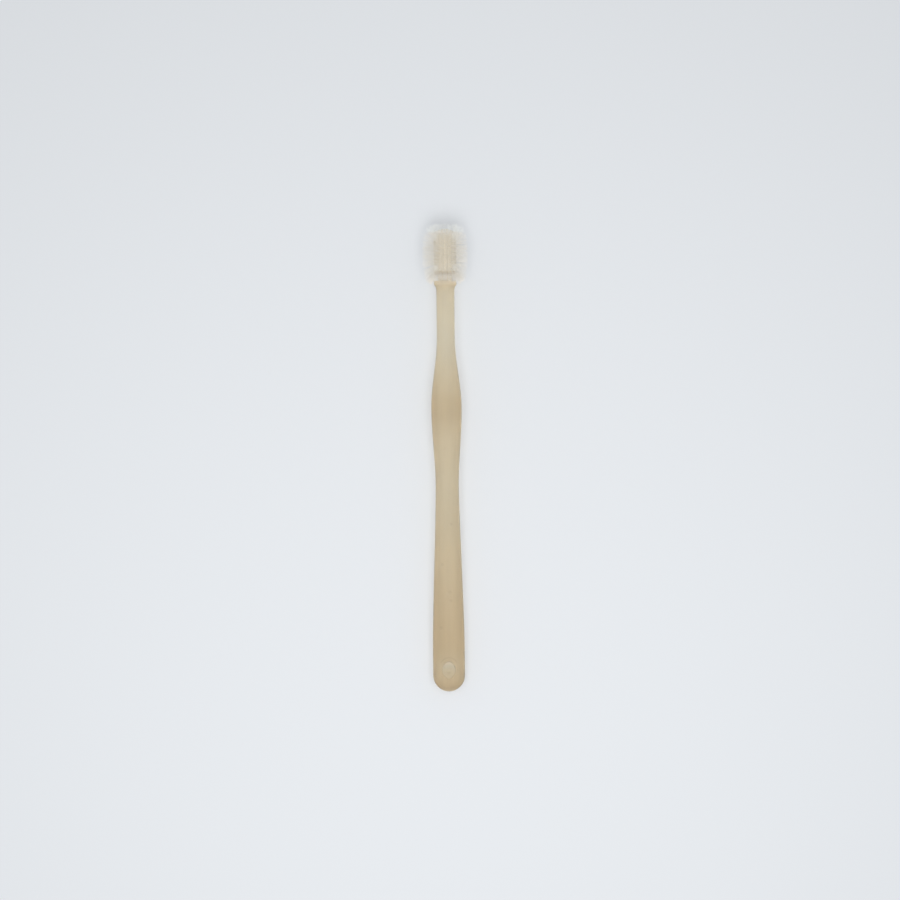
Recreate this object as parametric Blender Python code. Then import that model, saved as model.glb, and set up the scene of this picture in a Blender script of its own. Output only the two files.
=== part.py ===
"""A dog toothbrush with bristles all the way round its head, lying on a table. Metres, +Z up.

One moulding makes the handle: a rounded butt, a grip with a waist and a swollen thumb zone, a thin neck, a
flared collar, a seat and a splined spindle. Fourteen bristle discs are stacked on the spindle, each a thin
washer of fused filament ends with its bristles standing out all round, and a domed cap closes the stack.

The brush is modelled along +Y from its butt, and is then tilted and set down so that the butt's resting
flat and the lowest bristle tip touch the table at Z = 0.
"""

import math

import bmesh
import bpy
from mathutils import Matrix, Vector

# Grip and neck, in the order they follow from the butt's end
BUTT_WIDTH = 0.0115
BUTT_THICKNESS = 0.0098
BUTT_LENGTH = 0.0190
TAPER_LENGTH = 0.0550
WAIST_WIDTH = 0.0083
WAIST_THICKNESS = 0.0075
WAIST_TO_SWELL = 0.0290
SWELL_WIDTH = 0.0110
SWELL_THICKNESS = 0.0093
SWELL_TO_NECK = 0.0252
NECK_DIAMETER = 0.0065
NECK_LENGTH = 0.0168

# Collar, the seat that the discs stand on, and the spindle inside them
COLLAR_DIAMETER = 0.0081
COLLAR_FLARE_LENGTH = 0.0024
COLLAR_RIM_LENGTH = 0.0016
SEAT_DIAMETER = 0.0051
SEAT_LENGTH = 0.0022
SPINDLE_DIAMETER = 0.0042
SPLINE_DEPTH = 0.0005
SPLINE_COUNT = 5
SPIGOT_DIAMETER = 0.0024
SPIGOT_LENGTH = 0.0009

# Bristle discs
DISC_COUNT = 14
DISC_DIAMETER = 0.0082
DISC_THICKNESS = 0.00075
DISC_GAP = 0.0003
BORE_CLEARANCE = 0.0003
STRANDS_IN_ROW = 15
STRAND_ROOT_LENGTH = 0.0006
STRAND_LENGTH = 0.0043
STRAND_ROOT_DIAMETER = 0.00044
STRAND_TIP_DIAMETER = 0.00022
STRAND_FAN = math.radians(1.5)
FRONT_LEAN = math.radians(74)
BACK_LEAN = math.radians(-56)
FRONT_LEANING_DISCS = 4.5
BACK_LEANING_DISCS = 4.0

# End cap
CAP_DIAMETER = 0.0078
CAP_HEIGHT = 0.0016
CAP_RIM_HEIGHT = 0.0004

# Gate well on the butt's upper side, where the plastic entered the mould
WELL_DIAMETER = 0.0050
WELL_DEPTH = 0.0012
WELL_DRAFT = 0.0004
WELL_PLACE = 0.0075
GATE_DIAMETER = 0.0010
GATE_HEIGHT = 0.0003

# The flat under the butt that the brush rests on
REST_DEPTH = 0.0002

# How finely the handle is drawn
SIDES = 30
BUTT_RINGS = 7
TAPER_RINGS = 14
SWELL_RINGS = 10
FLARE_RINGS = 4
CAP_RINGS = 4
WELL_SIDES = 24
ROUND = 2.0
GRIP_SQUARENESS = 2.4
BUTT_NOSE_SQUARENESS = 2.8
TAPER_SOFTNESS = 0.3

# Places along the brush, worked out from the lengths above
BUTT_END_RADIUS = BUTT_WIDTH / 2
WAIST_PLACE = BUTT_LENGTH + TAPER_LENGTH
SWELL_PLACE = WAIST_PLACE + WAIST_TO_SWELL
NECK_PLACE = SWELL_PLACE + SWELL_TO_NECK
COLLAR_PLACE = NECK_PLACE + NECK_LENGTH
RIM_PLACE = COLLAR_PLACE + COLLAR_FLARE_LENGTH
SEAT_PLACE = RIM_PLACE + COLLAR_RIM_LENGTH
STACK_PLACE = SEAT_PLACE + SEAT_LENGTH
DISC_PITCH = DISC_THICKNESS + DISC_GAP
SPINDLE_END = STACK_PLACE + DISC_COUNT * DISC_PITCH
CAP_PLACE = SPINDLE_END + DISC_GAP
SPIGOT_END = CAP_PLACE + SPIGOT_LENGTH


def ease(share, softness):
    """A blend from 0 to 1: a straight line at softness 0, and level at both ends at softness 1."""
    return (1 - softness) * share + softness * share * share * (3 - 2 * share)


def around(count, phase=0.0):
    """Evenly spaced angles round the brush, from +X towards +Z."""
    return [phase + math.tau * k / count for k in range(count)]


def oval(place, half_width, half_height, squareness=ROUND):
    """One cross-section of the handle: a superellipse in the plane at this place along the brush."""
    power = 2 / squareness
    points = []
    for angle in around(SIDES):
        c, s = math.cos(angle), math.sin(angle)
        x = half_width * math.copysign(abs(c) ** power, c)
        z = half_height * math.copysign(abs(s) ** power, s)
        points.append(Vector((x, place, z)))
    return points


def splined(place, radius, depth):
    """A cross-section with SPLINE_COUNT ribs, each three points on the crest and three in the groove."""
    points = []
    for k, angle in enumerate(around(6 * SPLINE_COUNT)):
        reach = radius if k % 6 < 3 else radius - depth
        points.append(Vector((reach * math.cos(angle), place, reach * math.sin(angle))))
    return points


def add_ring(mesh, points):
    """The points as vertices of the mesh."""
    return [mesh.verts.new(point) for point in points]


def join_rings(mesh, first, second):
    """A closed band of triangles between two rings, which may differ in their number of points."""
    i = j = 0
    while i < len(first) or j < len(second):
        a, b = first[i % len(first)], second[j % len(second)]
        if j == len(second) or (i < len(first) and (i + 1) * len(second) <= (j + 1) * len(first)):
            i += 1
            mesh.faces.new((a, first[i % len(first)], b))
        else:
            j += 1
            mesh.faces.new((a, second[j % len(second)], b))


def loft(mesh, rings):
    """A skin over the rings in turn. Returns the first and the last ring's vertices, which stay open."""
    skins = [add_ring(mesh, points) for points in rings]
    for first, second in zip(skins, skins[1:]):
        join_rings(mesh, first, second)
    return skins[0], skins[-1]


def close_with_point(mesh, ring, point):
    """A fan from the ring to one point."""
    tip = mesh.verts.new(point)
    for k, vertex in enumerate(ring):
        mesh.faces.new((vertex, ring[(k + 1) % len(ring)], tip))


def as_object(name, mesh, material, parent):
    """Turns the bmesh into a named object on the brush, faces out and smooth between its sharp edges."""
    bmesh.ops.recalc_face_normals(mesh, faces=mesh.faces)
    data = bpy.data.meshes.new(name)
    mesh.to_mesh(data)
    mesh.free()
    data.shade_smooth()
    data.set_sharp_from_angle(angle=math.radians(35))
    data.materials.append(material)
    piece = bpy.data.objects.new(name, data)
    bpy.context.scene.collection.objects.link(piece)
    piece.parent = parent
    return piece


def plastic(name, colour, roughness, transmission=0.0):
    """A Principled material in the colour of the photographed plastic, which has no metal in it."""
    material = bpy.data.materials.new(name)
    material.use_nodes = True
    shader = material.node_tree.nodes["Principled BSDF"]
    shader.inputs["Base Color"].default_value = (*colour, 1)
    shader.inputs["Roughness"].default_value = roughness
    shader.inputs["Metallic"].default_value = 0.0
    shader.inputs["Transmission Weight"].default_value = transmission
    return material


def butt_sections():
    """The rounded end of the butt: a half circle from above and a blunter nose from the side."""
    sections = []
    for k in range(1, BUTT_RINGS + 1):
        turn = math.pi / 2 * k / BUTT_RINGS
        inward = math.cos(turn)
        height = (1 - inward**BUTT_NOSE_SQUARENESS) ** (1 / BUTT_NOSE_SQUARENESS)
        place = BUTT_END_RADIUS * (1 - inward)
        sections.append((place, BUTT_WIDTH * math.sin(turn), BUTT_THICKNESS * height, GRIP_SQUARENESS))
    return sections


def span_sections(start, end, steps, softness):
    """Sections between two (place, width, thickness, squareness) ends, leaving out the first."""
    sections = []
    for k in range(1, steps + 1):
        share = k / steps
        place = start[0] + (end[0] - start[0]) * share
        sizes = [a + (b - a) * ease(share, softness) for a, b in zip(start[1:], end[1:])]
        sections.append((place, *sizes))
    return sections


def grip_sections():
    """The outline from the butt's end to the top of the neck: place, width, thickness and squareness."""
    butt = (BUTT_LENGTH, BUTT_WIDTH, BUTT_THICKNESS, GRIP_SQUARENESS)
    waist = (WAIST_PLACE, WAIST_WIDTH, WAIST_THICKNESS, GRIP_SQUARENESS)
    swell = (SWELL_PLACE, SWELL_WIDTH, SWELL_THICKNESS, GRIP_SQUARENESS)
    neck = (NECK_PLACE, NECK_DIAMETER, NECK_DIAMETER, ROUND)
    collar = (COLLAR_PLACE, NECK_DIAMETER, NECK_DIAMETER, ROUND)
    return [
        *butt_sections(),
        butt,
        *span_sections(butt, waist, TAPER_RINGS, TAPER_SOFTNESS),
        *span_sections(waist, swell, SWELL_RINGS, 1.0),
        *span_sections(swell, neck, SWELL_RINGS, 1.0),
        collar,
    ]


def flare_rings():
    """The collar's hollow flare: a quarter of an ellipse out from the neck to the rim."""
    rings = []
    for k in range(1, FLARE_RINGS + 1):
        turn = math.pi / 2 * k / FLARE_RINGS
        place = COLLAR_PLACE + COLLAR_FLARE_LENGTH * math.sin(turn)
        radius = NECK_DIAMETER / 2 + (COLLAR_DIAMETER - NECK_DIAMETER) / 2 * (1 - math.cos(turn))
        rings.append(oval(place, radius, radius))
    return rings


def round_ring(place, diameter):
    """A round cross-section of this diameter."""
    return oval(place, diameter / 2, diameter / 2)


def handle_rings():
    """Every cross-section of the handle in turn, from the butt's end to the spigot's end."""
    grip = [oval(place, width / 2, height / 2, square) for place, width, height, square in grip_sections()]
    return [
        *grip,
        *flare_rings(),
        round_ring(SEAT_PLACE, COLLAR_DIAMETER),
        round_ring(SEAT_PLACE, SEAT_DIAMETER),
        round_ring(STACK_PLACE, SEAT_DIAMETER),
        splined(STACK_PLACE, SPINDLE_DIAMETER / 2, SPLINE_DEPTH),
        splined(SPINDLE_END, SPINDLE_DIAMETER / 2, SPLINE_DEPTH),
        round_ring(SPINDLE_END, SPIGOT_DIAMETER),
        round_ring(SPIGOT_END, SPIGOT_DIAMETER),
    ]


def strand_way(outward, lean):
    """The way a strand runs when it leans this far from square to the brush, towards the tip."""
    return math.cos(lean) * outward + math.sin(lean) * Vector((0, 1, 0))


def disc_lean(number):
    """How far a disc's bristles lean towards the tip. The discs at both ends fan out over the head's ends."""
    from_back = max(0.0, 1 - number / BACK_LEANING_DISCS)
    from_front = max(0.0, 1 - (DISC_COUNT - 1 - number) / FRONT_LEANING_DISCS)
    return BACK_LEAN * from_back**1.5 + FRONT_LEAN * from_front**1.5


def strand_ring(middle, corners, outward, lean, diameter):
    """Three points round the middle of a strand, square to it, in the order of its corners on the rim."""
    along = Vector((0, 1, 0))
    across = outward.cross(along)
    upright = strand_way(outward, lean + math.pi / 2)
    centre = sum(corners, Vector()) / len(corners)
    points = []
    for corner in corners:
        spoke = corner - centre
        turned = spoke.dot(across) * across + spoke.dot(along) * upright
        points.append(middle + turned.normalized() * diameter / 2)
    return points


def grow_strand(mesh, rim, lean):
    """Draws one three-sided strand out of a triangle of the washer's rim. Returns the corners of its tip."""
    corners = [vertex.co.copy() for vertex in rim]
    centre = sum(corners, Vector()) / len(corners)
    outward = Vector((centre.x, 0, centre.z)).normalized()
    root = centre + STRAND_ROOT_LENGTH * strand_way(outward, lean / 2)
    tip = root + (STRAND_LENGTH - STRAND_ROOT_LENGTH) * strand_way(outward, lean)
    root_ring = add_ring(mesh, strand_ring(root, corners, outward, lean, STRAND_ROOT_DIAMETER))
    tip_ring = add_ring(mesh, strand_ring(tip, corners, outward, lean, STRAND_TIP_DIAMETER))
    for first, second in ((rim, root_ring), (root_ring, tip_ring)):
        join_rings(mesh, first, second)
    mesh.faces.new(tip_ring)
    return [vertex.co.copy() for vertex in tip_ring]


def bristle_disc(number, material, parent):
    """One washer keyed to the spindle, with strands drawn out of its zigzag rim. Returns their tips."""
    mesh = bmesh.new()
    low = STACK_PLACE + DISC_GAP + number * DISC_PITCH
    high = low + DISC_THICKNESS
    phase = math.pi / STRANDS_IN_ROW * (number % 2) / 2
    half_step = math.pi / STRANDS_IN_ROW
    rim_low, rim_high = (
        add_ring(
            mesh,
            [
                Vector((math.cos(angle), 0, math.sin(angle))) * DISC_DIAMETER / 2 + Vector((0, place, 0))
                for angle in around(STRANDS_IN_ROW, turn)
            ],
        )
        for place, turn in ((low, phase), (high, phase + half_step))
    )
    bore = SPINDLE_DIAMETER / 2 + BORE_CLEARANCE
    bore_low, bore_high = (add_ring(mesh, splined(place, bore, SPLINE_DEPTH)) for place in (low, high))
    join_rings(mesh, bore_low, bore_high)
    join_rings(mesh, bore_low, rim_low)
    join_rings(mesh, bore_high, rim_high)
    lean = disc_lean(number)
    tips = []
    for k in range(STRANDS_IN_ROW):
        after = (k + 1) % STRANDS_IN_ROW
        lower = (rim_low[k], rim_low[after], rim_high[k])
        upper = (rim_high[after], rim_high[k], rim_low[after])
        tips += grow_strand(mesh, lower, lean - STRAND_FAN)
        tips += grow_strand(mesh, upper, lean + STRAND_FAN)
    as_object(f"bristle_disc_{number + 1:02d}", mesh, material, parent)
    return tips


def end_cap(material, parent):
    """A domed cap with a blind bore that fits over the spigot."""
    mesh = bmesh.new()
    bore = SPIGOT_DIAMETER + 2 * BORE_CLEARANCE
    bore_end = SPIGOT_END + DISC_GAP
    dome = CAP_HEIGHT - CAP_RIM_HEIGHT
    rings = [round_ring(bore_end, bore), round_ring(CAP_PLACE, bore), round_ring(CAP_PLACE, CAP_DIAMETER)]
    for k in range(CAP_RINGS):
        turn = math.pi / 2 * k / CAP_RINGS
        place = CAP_PLACE + CAP_RIM_HEIGHT + dome * math.sin(turn)
        rings.append(round_ring(place, CAP_DIAMETER * math.cos(turn)))
    bore_ring, dome_ring = loft(mesh, rings)
    close_with_point(mesh, bore_ring, (0, bore_end, 0))
    close_with_point(mesh, dome_ring, (0, CAP_PLACE + CAP_HEIGHT, 0))
    return as_object("end_cap", mesh, material, parent)


def as_cutter(name, mesh, parent):
    """Turns the bmesh into a shape that only cuts, and is left out of the model."""
    bmesh.ops.recalc_face_normals(mesh, faces=mesh.faces)
    data = bpy.data.meshes.new(name)
    mesh.to_mesh(data)
    mesh.free()
    cutter = bpy.data.objects.new(name, data)
    bpy.context.scene.collection.objects.link(cutter)
    cutter.parent = parent
    cutter.hide_render = True
    cutter.display_type = "WIRE"
    return cutter


def gate_well_cutter(parent):
    """A round well with sloping sides, sunk from above, that leaves the gate's stub in its middle."""
    mesh = bmesh.new()
    floor = BUTT_THICKNESS / 2 - WELL_DEPTH
    above = BUTT_THICKNESS / 2 + WELL_DEPTH
    profile = [
        (GATE_DIAMETER / 2, floor),
        (WELL_DIAMETER / 2 - WELL_DRAFT, floor),
        (WELL_DIAMETER / 2 + WELL_DRAFT, above),
    ]
    skins = []
    for radius, height in profile:
        circle = [
            Vector((radius * math.cos(angle), WELL_PLACE + radius * math.sin(angle), height))
            for angle in around(WELL_SIDES)
        ]
        skins.append(add_ring(mesh, circle))
    stub = [Vector((vertex.co.x, vertex.co.y, floor + GATE_HEIGHT)) for vertex in skins[0]]
    skins.insert(0, add_ring(mesh, stub))
    for first, second in zip(skins, skins[1:]):
        join_rings(mesh, first, second)
    mesh.faces.new(skins[0])
    mesh.faces.new(skins[-1])
    return as_cutter("gate_well_cutter", mesh, parent)


def table_cutter(reach, slope, parent):
    """A block whose top face is the table under the butt, reach below the brush's axis at the butt's end."""
    mesh = bmesh.new()
    size = 2 * BUTT_WIDTH
    start, end = -BUTT_LENGTH, WAIST_PLACE
    corners = []
    for depth in (0, size):
        for x, y in ((-size, start), (size, start), (size, end), (-size, end)):
            corners.append(mesh.verts.new((x, y, -reach - slope * y - depth)))
    top, bottom = corners[:4], corners[4:]
    mesh.faces.new(top)
    mesh.faces.new(bottom)
    for k in range(4):
        mesh.faces.new((top[k], top[(k + 1) % 4], bottom[(k + 1) % 4], bottom[k]))
    return as_cutter("table_cutter", mesh, parent)


def handle(material, parent, cutters):
    """The whole handle as one moulding, with the gate well and the resting flat cut into it."""
    mesh = bmesh.new()
    first, last = loft(mesh, handle_rings())
    close_with_point(mesh, first, (0, 0, 0))
    close_with_point(mesh, last, (0, SPIGOT_END, 0))
    piece = as_object("handle", mesh, material, parent)
    for cutter in cutters:
        cut = piece.modifiers.new(cutter.name, "BOOLEAN")
        cut.operation = "DIFFERENCE"
        cut.solver = "EXACT"
        cut.object = cutter
    return piece


def resting_plane(tips):
    """How the table lies under the brush, as its depth below the axis at the butt's end and its slope.

    It leaves the resting flat in the middle of the butt's even stretch and touches the lowest bristle tip.
    """
    flat_place = (BUTT_END_RADIUS + BUTT_LENGTH) / 2
    flat_reach = BUTT_THICKNESS / 2 - REST_DEPTH
    slope = max((-tip.z - flat_reach) / (tip.y - flat_place) for tip in tips)
    return flat_reach - slope * flat_place, slope


def middle_of(pieces):
    """The middle of the pieces' box along +Y, in world space."""
    bpy.context.view_layer.update()
    places = [(piece.matrix_world @ vertex.co).y for piece in pieces for vertex in piece.data.vertices]
    return (min(places) + max(places)) / 2


def main():
    """Builds the brush and sets it down on the table, centred over the origin."""
    for old in list(bpy.data.objects):
        bpy.data.objects.remove(old)
    honey = plastic("honey_plastic", (0.57, 0.48, 0.32), 0.35, 0.6)
    filament = plastic("clear_filament", (0.72, 0.73, 0.70), 0.4, 0.5)
    brush = bpy.data.objects.new("toothbrush", None)
    bpy.context.scene.collection.objects.link(brush)
    tips = []
    for number in range(DISC_COUNT):
        tips += bristle_disc(number, filament, brush)
    reach, slope = resting_plane(tips)
    end_cap(honey, brush)
    handle(honey, brush, [gate_well_cutter(brush), table_cutter(reach, slope, brush)])
    lie = math.atan(slope)
    brush.matrix_world = Matrix.Rotation(lie, 4, "X")
    pieces = [piece for piece in brush.children if not piece.hide_render]
    brush.location = (0, -middle_of(pieces), reach * math.cos(lie))


main()
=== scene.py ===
"""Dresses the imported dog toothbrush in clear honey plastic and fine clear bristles, on a pale table.

The brush is drawn along +Y from the end of its butt, with its axis on the Y axis, and every mesh is then
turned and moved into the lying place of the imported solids. All lengths are in metres.
"""

import math

import bpy
import numpy as np
from bpy.props import FloatProperty, FloatVectorProperty, IntProperty, PointerProperty
from mathutils import Matrix, Vector


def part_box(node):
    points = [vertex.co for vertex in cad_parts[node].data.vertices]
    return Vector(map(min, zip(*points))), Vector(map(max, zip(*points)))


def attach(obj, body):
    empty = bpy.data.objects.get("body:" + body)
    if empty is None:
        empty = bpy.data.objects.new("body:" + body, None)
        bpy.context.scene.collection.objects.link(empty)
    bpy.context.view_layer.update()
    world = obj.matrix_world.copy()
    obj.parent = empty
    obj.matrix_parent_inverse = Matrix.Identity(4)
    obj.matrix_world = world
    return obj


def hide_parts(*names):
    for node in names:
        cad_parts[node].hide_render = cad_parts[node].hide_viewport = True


bl_info = {
    "name": "Dog Toothbrush",
    "version": (1, 0, 0),
    "blender": (4, 5, 0),
    "location": "View3D > Sidebar > Toothbrush",
    "description": "Draws a dog toothbrush with bristles all the way round its head",
    "category": "Add Mesh",
}

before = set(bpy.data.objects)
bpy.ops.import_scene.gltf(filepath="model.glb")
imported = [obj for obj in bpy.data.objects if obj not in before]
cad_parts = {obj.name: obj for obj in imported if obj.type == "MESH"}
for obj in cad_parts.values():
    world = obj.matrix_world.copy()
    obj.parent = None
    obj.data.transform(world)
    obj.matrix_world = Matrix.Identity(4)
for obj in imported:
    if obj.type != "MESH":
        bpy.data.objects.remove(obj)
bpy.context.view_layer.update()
DISC_NAMES = sorted(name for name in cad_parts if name.startswith("bristle_disc_"))
LAST_DISC = len(DISC_NAMES) - 1

# Two discs with square bristles, counted from 1 at the collar. Their boxes' middles give the axis.
STRAIGHT_DISCS = (5, 9)
# Sides of a section of the handle, a fused ring, the cap and the gate well, and a filament.
SIDES, RING_SIDES, SMALL_SIDES, FILAMENT_SIDES = 96, 180, 72, 3
SHARP_ANGLE = math.radians(50)
WHITE, BLACK = (1, 1, 1, 1), (0, 0, 0, 1)
# What takes the part along the brush out of a place, and what takes out its height.
ACROSS, FLAT = (1, 0, 1), (1, 1, 0)

# How square the grip's sections and the butt's end are, where 2 is an ellipse.
GRIP_SQUARENESS, END_SQUARENESS = 2.4, 2.8
# Length between two sections of the grip, and numbers of sections elsewhere.
GRIP_STEP = 0.00045
END_SECTIONS, FLARE_SECTIONS, SPINDLE_SECTIONS = 34, 12, 24
# Sections on each side that soften a join of the grip's outline.
SOFTENED = 6
SPLINE_COUNT, SPLINE_SHARPNESS, SPLINE_TURN = 5, 3, math.radians(12)
DOME_SECTIONS, DOME_CURVE = 16, 2.2
# How far the gate well's cutter reaches above the butt, at its lip and at its top.
WELL_LIP, WELL_RISE = 0.00002, 0.002

# How much of a gap a fused ring fills, towards its neighbour and at the ends of the stack.
GAP_FILL, END_GAP_FILL = 0.495, 0.97
# Height of the hindmost ring's foot, at its edge and where it meets the ring.
FOOT_HEIGHT, FOOT_TOP = 0.0003, 0.0004
# How many discs at each end of the stack lean, how late their lean sets in, and its limits in degrees.
LEAN_REACH, BACK_CURVE, FRONT_CURVE = 4.5, 1.5, 2.0
LEAN_LIMITS = (-84, 118)
# The least and the most that leans are multiplied by in the hindmost and the foremost disc's fans.
FOOT_FAN, TIP_FAN = (0.15, 1.40), (0.70, 1.55)
# How the hindmost fan crowds to its most, under 1, and the part of it from which it lies along the seat.
FOOT_CROWD, SEAT_FAN = 0.35, 0.8
# How far a lean strays, with the filament's own part and its bunch's part.
STRAY, OWN_STRAY, BUNCH_STRAY = math.radians(5), 0.6, 0.8
# How far a tip sways round the brush and bends along it.
SWAY, BEND = 0.00015, 0.00012
# How much shorter a filament may be, how that is spread, and how far behind the foremost tip it may end.
LENGTH_LOSS, LOSS_CURVE, TIP_LOSS = 0.0006, 0.6, 0.0012
# How deep in its ring a filament starts, and how far over the collar it stops.
ROOT_DEPTH, SEAT_GAP = 0.0004, 0.0001
# The sections of a filament past its knee, and how thick all its sections are.
FREE_SECTIONS = (0.4, 0.75, 0.97, 1.0)
TAPER = (1.0, 1.0, 0.92, 0.76, 0.6, 0.3)

# Patches painted on the grip: the two pale ones, down the middle and on the swell, are painted highlights,
# and the dark one darkens a band left of the middle. Each has how far aside, where along the brush, width,
# length, strength and lightness.
GRIP_PAINTED_PATCHES = (
    (0.0, 0.033, 0.0045, 0.048, 0.07, 1.0), (0.0, 0.0905, 0.0075, 0.017, 0.07, 1.0),
    (-0.0018, 0.019, 0.0055, 0.035, 0.055, 0.0),
)
# Small marks in the grip: how far aside, where along the brush and radius.
INNER_MARKS = (
    (0.00132, 0.0609, 0.0007), (-0.00205, 0.0463, 0.0008), (0.00058, 0.0363, 0.0009),
    (0.00094, 0.0332, 0.0008), (-0.00278, 0.0234, 0.0009),
)
# Two faint dark arcs painted in front of the gate well, by their distance from its middle, where 1 is its
# edge.
DARK_ARCS = (1.05, 1.45)
# How much the marks, the dark arcs and the gate's stub darken the plastic, and how strongly a painted
# highlight lightens it beside each mark.
MARK_DARKNESS, GATE_DARKNESS, PAINTED_GLINT = 0.12, 0.10, 0.09
# Half the width of the parting line, at its top and at its foot.
PARTING_LINE = (0.00003, 0.00011)
# Half the length over which the collar's looks change into the seat's.
SEAT_BLEND = 0.0003

# The table lies a little low, so that it shares no plane with the flat of the butt.
TABLE_REACH, TABLE_DROP = 3.0, 0.00002
# Distances from the brush's middle between which the table turns into the backdrop.
BACKDROP = (0.23, 0.60)


def amount(name, default, description, least=0, **more):
    """A number that a user would change."""
    return FloatProperty(name=name, default=default, description=description, min=least, **more)


def size(name, default, description):
    """A length that a user would change."""
    return amount(name, default, description, precision=5, unit="LENGTH")


def share(name, default, description):
    """A number from 0 to 1 that a user would change."""
    return amount(name, default, description, max=1, subtype="FACTOR")


def angle(name, degrees, description):
    """An angle that a user would change."""
    return amount(name, math.radians(degrees), description, -math.pi, subtype="ANGLE")


def whole(name, default, description, **more):
    """A whole number that a user would change."""
    return IntProperty(name=name, default=default, description=description, min=1, **more)


def colour(name, default, description):
    """A colour that a user would change, in linear values."""
    return FloatVectorProperty(
        name=name, default=default, description=description, min=0, max=1, size=3, subtype="COLOR"
    )


def point(name, default, description):
    """A place that a user would change."""
    return FloatVectorProperty(
        name=name, default=default, description=description, size=len(default), unit="LENGTH"
    )


class HandleSettings(bpy.types.PropertyGroup):
    """Sizes and finish of the moulded handle and of the end cap, which is the same plastic."""

    butt_width: size("Butt width", 0.0115, "Width of the butt")
    butt_thickness: size("Butt thickness", 0.0098, "Thickness of the butt")
    butt_length: size("Butt length", 0.0190, "Length of the butt with its rounded end")
    taper_length: size("Taper length", 0.0550, "From the butt to the waist")
    waist_width: size("Waist width", 0.0083, "Width of the waist")
    waist_thickness: size("Waist thickness", 0.0075, "Thickness of the waist")
    waist_to_swell: size("Waist to swell", 0.0290, "From the waist to the middle of the swell")
    swell_width: size("Swell width", 0.0110, "Width of the thumb swell")
    swell_thickness: size("Swell thickness", 0.0093, "Thickness of the thumb swell")
    swell_to_neck: size("Swell to neck", 0.0252, "From the middle of the swell to the neck")
    neck_diameter: size("Neck diameter", 0.0065, "Diameter of the neck")
    neck_length: size("Neck length", 0.0168, "Length of the even neck")
    collar_diameter: size("Collar diameter", 0.0081, "Diameter of the collar's rim")
    flare_length: size("Flare length", 0.0024, "Length of the collar's hollow flare")
    rim_length: size("Rim length", 0.0016, "Length of the collar's rim")
    seat_diameter: size("Seat diameter", 0.0051, "Diameter of the seat under the discs")
    seat_length: size("Seat length", 0.0022, "Length of the seat")
    spindle_diameter: size("Spindle diameter", 0.0042, "Diameter of the spindle over its splines")
    spline_depth: size("Spline depth", 0.0005, "Depth of the grooves between the splines")
    spigot_diameter: size("Spigot diameter", 0.0024, "Diameter of the spigot inside the cap")
    spigot_length: size("Spigot length", 0.0009, "Length of the spigot")
    well_width: size("Well width", 0.0050, "Width of the oval gate well in the butt")
    well_length: size("Well length", 0.0062, "Length of the gate well")
    well_depth: size("Well depth", 0.0012, "Depth of the gate well")
    well_draft: size("Well draft", 0.0003, "How far the well's wall leans in")
    well_slant: share("Well slant", 0.65, "How much shallower the well is towards the butt's end")
    well_place: size("Well place", 0.0081, "From the butt's end to the well's middle")
    gate_diameter: size("Gate diameter", 0.0010, "Diameter of the gate's stub in the well")
    gate_height: size("Gate height", 0.0003, "Height of the gate's stub")
    gate_place: size("Gate place", 0.0072, "From the butt's end to the gate's stub")
    cap_diameter: size("Cap diameter", 0.0078, "Diameter of the end cap")
    cap_height: size("Cap height", 0.0016, "Height of the end cap")
    cap_rim: size("Cap rim height", 0.0001, "Height of the end cap's straight rim")
    thin_tint: colour("Thin tint", (0.905, 0.89, 0.80), "Colour of the plastic where it is slim")
    thick_tint: colour("Thick tint", (0.82, 0.777, 0.665), "Colour of the plastic where it is thick")
    # Partly painted light: the neck's end and the collar are painted paler where the filaments shade them.
    neck_end_tint: colour("Neck end tint", (0.95, 0.92, 0.81), "Colour of the neck just under the collar")
    collar_tint: colour("Collar tint", (1.0, 0.96, 0.83), "Colour of the collar")
    head_tint: colour("Head end tint", (0.84, 0.77, 0.64), "Colour of the seat and the spindle")
    cap_tint: colour("Cap tint", (0.90, 0.78, 0.58), "Colour of the cap")
    cap_gloss: share("Cap gloss", 0.45, "How much smoother than the handle the cap is")
    # Painted reflection: the paler, greyer colour painted into the gate well.
    well_tint: colour("Well tint", (0.81, 0.86, 0.87), "Colour of the plastic in the gate well")
    depth_tint: colour("Depth tint", (0.90, 0.70, 0.38), "Colour that light takes on inside the plastic")
    depth_density: amount("Depth density", 60.0, "How quickly light takes on the depth tint")
    clearness: share("Clearness", 0.95, "How much light passes through the handle")
    rim_clearness: share("Rim clearness", 0.835, "How much light passes through the collar's rim")
    head_clearness: share("Head end clearness", 0.15, "How much light passes through the seat and the cap")
    roughness: share("Roughness", 0.70, "Roughness of the satin mould")


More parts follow.
